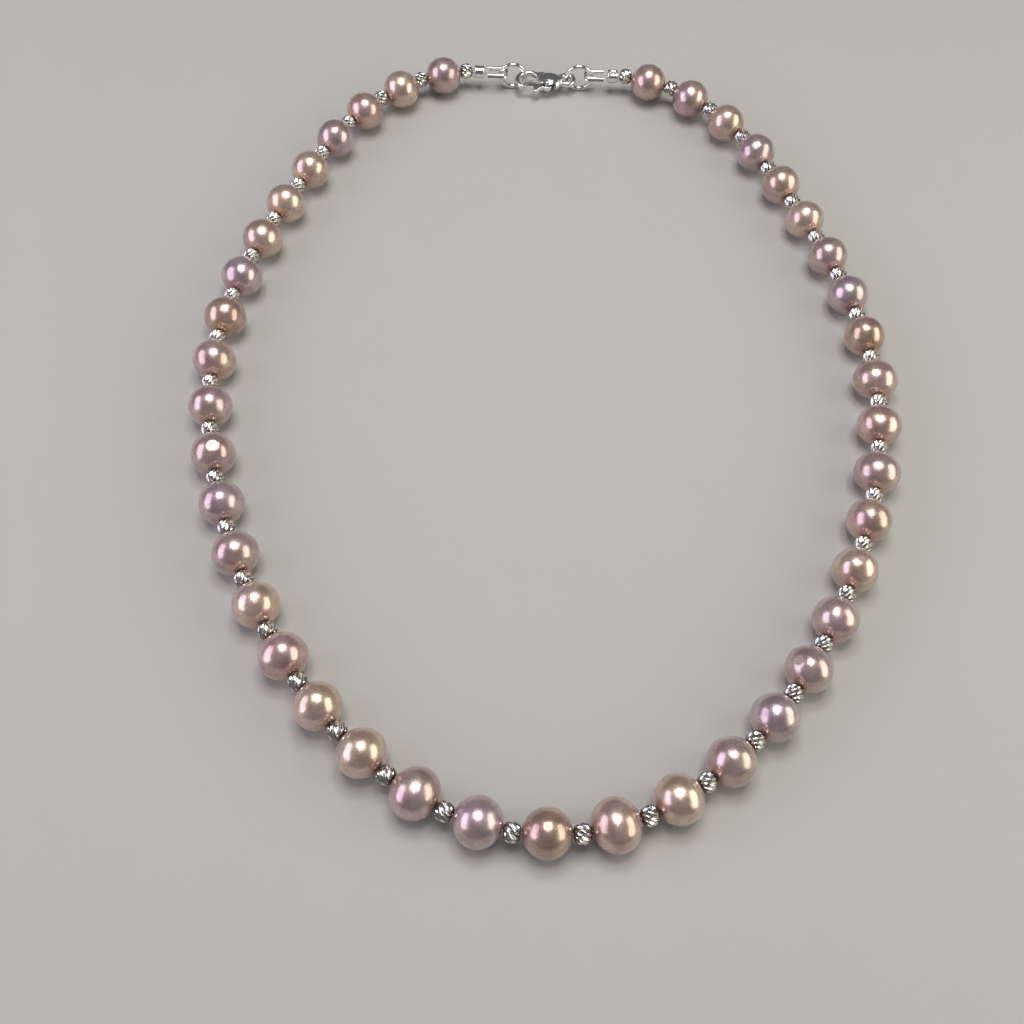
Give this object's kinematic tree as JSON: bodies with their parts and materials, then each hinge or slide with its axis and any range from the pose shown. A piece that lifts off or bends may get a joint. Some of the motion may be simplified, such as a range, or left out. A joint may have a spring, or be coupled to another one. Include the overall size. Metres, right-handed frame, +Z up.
{
  "type": "pearl necklace",
  "caption": "Strand of drilled near-round pearls with small bright-cut silver beads between them, in a closed loop with a lobster clasp at the back.",
  "frame": {"origin": "under the middle of the loop, on the surface that it lies on", "axes": "+Z up off the surface, +Y from the front of the loop to the clasp, +X to the right seen from the front"},
  "size_m": [0.1154, 0.1558, 0.0072],
  "materials": {
    "nacre_peach": "high-lustre nacre, peach body tone with soft overtones",
    "nacre_rose": "high-lustre nacre, rose body tone with soft overtones",
    "nacre_mauve": "high-lustre nacre, mauve body tone with soft overtones",
    "nacre_lavender": "high-lustre nacre, lavender body tone with soft overtones",
    "nacre_bronze": "high-lustre nacre, bronze body tone with soft overtones",
    "bright_cut_silver": "bright-cut sterling silver beads on fine steel beading wire",
    "polished_silver": "polished sterling silver",
    "spring_steel": "fine drawn steel"
  },
  "bodies": {
    "left_3": {"wire_left_3": "bright_cut_silver", "crimp_left": "polished_silver", "wire_guard_left": "polished_silver"},
    "left_2": {"wire_left_2": "bright_cut_silver"},
    "left_1": {"wire_left_1": "bright_cut_silver"},
    "front": {"wire_front": "bright_cut_silver"},
    "right_1": {"wire_right_1": "bright_cut_silver"},
    "right_2": {"wire_right_2": "bright_cut_silver"},
    "right_3": {"wire_right_3": "bright_cut_silver", "crimp_right": "polished_silver", "wire_guard_right": "polished_silver"},
    "jump_ring": {"jump_ring": "polished_silver"},
    "end_ring": {"end_ring": "polished_silver"},
    "clasp": {"clasp_body": "polished_silver", "lever_pin": "spring_steel", "lever_spring": "spring_steel"},
    "lever": {"clasp_lever": "polished_silver"},
    "pearl_01": {"pearl_01": "nacre_mauve"},
    "pearl_02": {"pearl_02": "nacre_peach"},
    "pearl_03": {"pearl_03": "nacre_rose"},
    "pearl_04": {"pearl_04": "nacre_lavender"},
    "pearl_05": {"pearl_05": "nacre_peach"},
    "pearl_06": {"pearl_06": "nacre_peach"},
    "pearl_07": {"pearl_07": "nacre_rose"},
    "pearl_08": {"pearl_08": "nacre_lavender"},
    "pearl_09": {"pearl_09": "nacre_bronze"},
    "pearl_10": {"pearl_10": "nacre_rose"},
    "pearl_11": {"pearl_11": "nacre_mauve"},
    "pearl_12": {"pearl_12": "nacre_mauve"},
    "pearl_13": {"pearl_13": "nacre_lavender"},
    "pearl_14": {"pearl_14": "nacre_mauve"},
    "pearl_15": {"pearl_15": "nacre_peach"},
    "pearl_16": {"pearl_16": "nacre_rose"},
    "pearl_17": {"pearl_17": "nacre_peach"},
    "pearl_18": {"pearl_18": "nacre_peach"},
    "pearl_19": {"pearl_19": "nacre_mauve"},
    "pearl_20": {"pearl_20": "nacre_lavender"},
    "pearl_21": {"pearl_21": "nacre_bronze"},
    "pearl_22": {"pearl_22": "nacre_rose"},
    "pearl_23": {"pearl_23": "nacre_peach"},
    "pearl_24": {"pearl_24": "nacre_mauve"},
    "pearl_25": {"pearl_25": "nacre_lavender"},
    "pearl_26": {"pearl_26": "nacre_mauve"},
    "pearl_27": {"pearl_27": "nacre_mauve"},
    "pearl_28": {"pearl_28": "nacre_peach"},
    "pearl_29": {"pearl_29": "nacre_rose"},
    "pearl_30": {"pearl_30": "nacre_mauve"},
    "pearl_31": {"pearl_31": "nacre_rose"},
    "pearl_32": {"pearl_32": "nacre_rose"},
    "pearl_33": {"pearl_33": "nacre_bronze"},
    "pearl_34": {"pearl_34": "nacre_lavender"},
    "pearl_35": {"pearl_35": "nacre_mauve"},
    "pearl_36": {"pearl_36": "nacre_peach"},
    "pearl_37": {"pearl_37": "nacre_rose"},
    "pearl_38": {"pearl_38": "nacre_lavender"},
    "pearl_39": {"pearl_39": "nacre_peach"},
    "pearl_40": {"pearl_40": "nacre_mauve"},
    "pearl_41": {"pearl_41": "nacre_rose"}
  },
  "joints": [
    {"name": "loop_spreads", "type": "hinge", "parent": "front", "child": "right_1", "pos_m": [0.02954, -0.06003, 0.0036], "axis": [0, 0, -1], "range_deg": [-5, 5]},
    {"name": "right_side_bows", "type": "hinge", "parent": "right_1", "child": "right_2", "pos_m": [0.05316, -0.01028, 0.0036], "axis": [0, 0, -1], "range_deg": [-10, 10]},
    {"name": "right_back_turns", "type": "hinge", "parent": "right_2", "child": "right_3", "pos_m": [0.04448, 0.044, 0.0036], "axis": [0, 0, -1], "range_deg": [-5, 5]},
    {"name": "left_loop_spreads", "type": "hinge", "parent": "front", "child": "left_1", "pos_m": [-0.02954, -0.06003, 0.0036], "axis": [0, 0, 1], "range_deg": [-5, 5]},
    {"name": "left_side_bows", "type": "hinge", "parent": "left_1", "child": "left_2", "pos_m": [-0.05316, -0.01028, 0.0036], "axis": [0, 0, 1], "range_deg": [-10, 10]},
    {"name": "left_back_turns", "type": "hinge", "parent": "left_2", "child": "left_3", "pos_m": [-0.04448, 0.044, 0.0036], "axis": [0, 0, 1], "range_deg": [-5, 5]},
    {"name": "clasp_lever_opens", "type": "hinge", "parent": "clasp", "child": "lever", "pos_m": [0.00025, 0.07368, 0.0023], "axis": [0, 0, -1], "range_deg": [0, 16], "stiffness_Nm_per_rad": 0.0005, "springref_deg": -5.73},
    {"name": "clasp_rolls", "type": "hinge", "parent": "right_3", "child": "clasp", "pos_m": [0, 0.07518, 0.0023], "axis": [1, 0, 0], "range_deg": [-10, 10]},
    {"name": "end_ring_turns", "type": "hinge", "parent": "left_3", "child": "end_ring", "pos_m": [-0.00651, 0.07578, 0.00295], "axis": [0, 1, 0], "continuous": true},
    {"name": "jump_ring_turns", "type": "hinge", "parent": "right_3", "child": "jump_ring", "pos_m": [0.00651, 0.07578, 0.00295], "axis": [0, 1, 0], "continuous": true},
    {"name": "pearl_01_turns", "type": "hinge", "parent": "left_3", "child": "pearl_01", "pos_m": [-0.02004, 0.07425, 0.0036], "axis": [-0.9443, -0.3291, 0], "continuous": true},
    {"name": "pearl_02_turns", "type": "hinge", "parent": "left_3", "child": "pearl_02", "pos_m": [-0.02804, 0.06982, 0.0036], "axis": [-0.7802, -0.6255, 0], "continuous": true},
    {"name": "pearl_03_turns", "type": "hinge", "parent": "left_3", "child": "pearl_03", "pos_m": [-0.0345, 0.06325, 0.0036], "axis": [-0.6121, -0.7908, 0], "continuous": true},
    {"name": "pearl_04_turns", "type": "hinge", "parent": "left_3", "child": "pearl_04", "pos_m": [-0.03941, 0.05542, 0.0036], "axis": [-0.4456, -0.8952, 0], "continuous": true},
    {"name": "pearl_05_turns", "type": "hinge", "parent": "left_3", "child": "pearl_05", "pos_m": [-0.04326, 0.04696, 0.0036], "axis": [-0.3813, -0.9244, 0], "continuous": true},
    {"name": "pearl_06_turns", "type": "hinge", "parent": "left_2", "child": "pearl_06", "pos_m": [-0.0467, 0.03831, 0.0036], "axis": [-0.3595, -0.9331, 0], "continuous": true},
    {"name": "pearl_07_turns", "type": "hinge", "parent": "left_2", "child": "pearl_07", "pos_m": [-0.04977, 0.02954, 0.0036], "axis": [-0.3003, -0.9538, 0], "continuous": true},
    {"name": "pearl_08_turns", "type": "hinge", "parent": "left_2", "child": "pearl_08", "pos_m": [-0.0522, 0.02056, 0.0036], "axis": [-0.2215, -0.9752, 0], "continuous": true},
    {"name": "pearl_09_turns", "type": "hinge", "parent": "left_2", "child": "pearl_09", "pos_m": [-0.05381, 0.01141, 0.0036], "axis": [-0.1241, -0.9923, 0], "continuous": true},
    {"name": "pearl_10_turns", "type": "hinge", "parent": "left_2", "child": "pearl_10", "pos_m": [-0.0543, 0.00215, 0.0036], "axis": [0.0188, -0.9998, 0], "continuous": true},
    {"name": "pearl_11_turns", "type": "hinge", "parent": "left_2", "child": "pearl_11", "pos_m": [-0.05359, -0.00711, 0.0036], "axis": [0.1337, -0.991, 0], "continuous": true},
    {"name": "pearl_12_turns", "type": "hinge", "parent": "left_1", "child": "pearl_12", "pos_m": [-0.05189, -0.01624, 0.0036], "axis": [0.2299, -0.9732, 0], "continuous": true},
    {"name": "pearl_13_turns", "type": "hinge", "parent": "left_1", "child": "pearl_13", "pos_m": [-0.04935, -0.02518, 0.0036], "axis": [0.3174, -0.9483, 0], "continuous": true},
    {"name": "pearl_14_turns", "type": "hinge", "parent": "left_1", "child": "pearl_14", "pos_m": [-0.04605, -0.03387, 0.0036], "axis": [0.3928, -0.9196, 0], "continuous": true},
    {"name": "pearl_15_turns", "type": "hinge", "parent": "left_1", "child": "pearl_15", "pos_m": [-0.04201, -0.04224, 0.0036], "axis": [0.4756, -0.8797, 0], "continuous": true},
    {"name": "pearl_16_turns", "type": "hinge", "parent": "left_1", "child": "pearl_16", "pos_m": [-0.03722, -0.0502, 0.0036], "axis": [0.5535, -0.8328, 0], "continuous": true},
    {"name": "pearl_17_turns", "type": "hinge", "parent": "left_1", "child": "pearl_17", "pos_m": [-0.03162, -0.0576, 0.0036], "axis": [0.6513, -0.7588, 0], "continuous": true},
    {"name": "pearl_18_turns", "type": "hinge", "parent": "front", "child": "pearl_18", "pos_m": [-0.02506, -0.06415, 0.0036], "axis": [0.7604, -0.6494, 0], "continuous": true},
    {"name": "pearl_19_turns", "type": "hinge", "parent": "front", "child": "pearl_19", "pos_m": [-0.01754, -0.06955, 0.0036], "axis": [0.8578, -0.514, 0], "continuous": true},
    {"name": "pearl_20_turns", "type": "hinge", "parent": "front", "child": "pearl_20", "pos_m": [-0.0091, -0.07322, 0.0036], "axis": [0.9614, -0.2753, 0], "continuous": true},
    {"name": "pearl_21_turns", "type": "hinge", "parent": "front", "child": "pearl_21", "pos_m": [0, -0.07449, 0.0036], "axis": [1, 0, 0], "continuous": true},
    {"name": "pearl_22_turns", "type": "hinge", "parent": "front", "child": "pearl_22", "pos_m": [0.0091, -0.07322, 0.0036], "axis": [0.9614, 0.2753, 0], "continuous": true},
    {"name": "pearl_23_turns", "type": "hinge", "parent": "front", "child": "pearl_23", "pos_m": [0.01754, -0.06955, 0.0036], "axis": [0.8578, 0.514, 0], "continuous": true},
    {"name": "pearl_24_turns", "type": "hinge", "parent": "front", "child": "pearl_24", "pos_m": [0.02506, -0.06415, 0.0036], "axis": [0.7604, 0.6494, 0], "continuous": true},
    {"name": "pearl_25_turns", "type": "hinge", "parent": "right_1", "child": "pearl_25", "pos_m": [0.03162, -0.0576, 0.0036], "axis": [0.6513, 0.7588, 0], "continuous": true},
    {"name": "pearl_26_turns", "type": "hinge", "parent": "right_1", "child": "pearl_26", "pos_m": [0.03722, -0.0502, 0.0036], "axis": [0.5535, 0.8328, 0], "continuous": true},
    {"name": "pearl_27_turns", "type": "hinge", "parent": "right_1", "child": "pearl_27", "pos_m": [0.04201, -0.04224, 0.0036], "axis": [0.4756, 0.8797, 0], "continuous": true},
    {"name": "pearl_28_turns", "type": "hinge", "parent": "right_1", "child": "pearl_28", "pos_m": [0.04605, -0.03387, 0.0036], "axis": [0.3928, 0.9196, 0], "continuous": true},
    {"name": "pearl_29_turns", "type": "hinge", "parent": "right_1", "child": "pearl_29", "pos_m": [0.04935, -0.02518, 0.0036], "axis": [0.3174, 0.9483, 0], "continuous": true},
    {"name": "pearl_30_turns", "type": "hinge", "parent": "right_1", "child": "pearl_30", "pos_m": [0.05189, -0.01624, 0.0036], "axis": [0.2299, 0.9732, 0], "continuous": true},
    {"name": "pearl_31_turns", "type": "hinge", "parent": "right_2", "child": "pearl_31", "pos_m": [0.05359, -0.00711, 0.0036], "axis": [0.1337, 0.991, 0], "continuous": true},
    {"name": "pearl_32_turns", "type": "hinge", "parent": "right_2", "child": "pearl_32", "pos_m": [0.0543, 0.00215, 0.0036], "axis": [0.0188, 0.9998, 0], "continuous": true},
    {"name": "pearl_33_turns", "type": "hinge", "parent": "right_2", "child": "pearl_33", "pos_m": [0.05381, 0.01141, 0.0036], "axis": [-0.1241, 0.9923, 0], "continuous": true},
    {"name": "pearl_34_turns", "type": "hinge", "parent": "right_2", "child": "pearl_34", "pos_m": [0.0522, 0.02056, 0.0036], "axis": [-0.2215, 0.9752, 0], "continuous": true},
    {"name": "pearl_35_turns", "type": "hinge", "parent": "right_2", "child": "pearl_35", "pos_m": [0.04977, 0.02954, 0.0036], "axis": [-0.3003, 0.9538, 0], "continuous": true},
    {"name": "pearl_36_turns", "type": "hinge", "parent": "right_2", "child": "pearl_36", "pos_m": [0.0467, 0.03831, 0.0036], "axis": [-0.3595, 0.9331, 0], "continuous": true},
    {"name": "pearl_37_turns", "type": "hinge", "parent": "right_3", "child": "pearl_37", "pos_m": [0.04326, 0.04696, 0.0036], "axis": [-0.3813, 0.9244, 0], "continuous": true},
    {"name": "pearl_38_turns", "type": "hinge", "parent": "right_3", "child": "pearl_38", "pos_m": [0.03941, 0.05542, 0.0036], "axis": [-0.4456, 0.8952, 0], "continuous": true},
    {"name": "pearl_39_turns", "type": "hinge", "parent": "right_3", "child": "pearl_39", "pos_m": [0.0345, 0.06325, 0.0036], "axis": [-0.6121, 0.7908, 0], "continuous": true},
    {"name": "pearl_40_turns", "type": "hinge", "parent": "right_3", "child": "pearl_40", "pos_m": [0.02804, 0.06982, 0.0036], "axis": [-0.7802, 0.6255, 0], "continuous": true},
    {"name": "pearl_41_turns", "type": "hinge", "parent": "right_3", "child": "pearl_41", "pos_m": [0.02004, 0.07425, 0.0036], "axis": [-0.9443, 0.3291, 0], "continuous": true}
  ],
  "couplings": [
    {"joint": "right_side_bows", "follows": "loop_spreads", "ratio": -1.9166},
    {"joint": "right_back_turns", "follows": "loop_spreads", "ratio": 0.91663},
    {"joint": "left_loop_spreads", "follows": "loop_spreads", "ratio": 1},
    {"joint": "left_side_bows", "follows": "loop_spreads", "ratio": -1.9166},
    {"joint": "left_back_turns", "follows": "loop_spreads", "ratio": 0.91663}
  ]
}
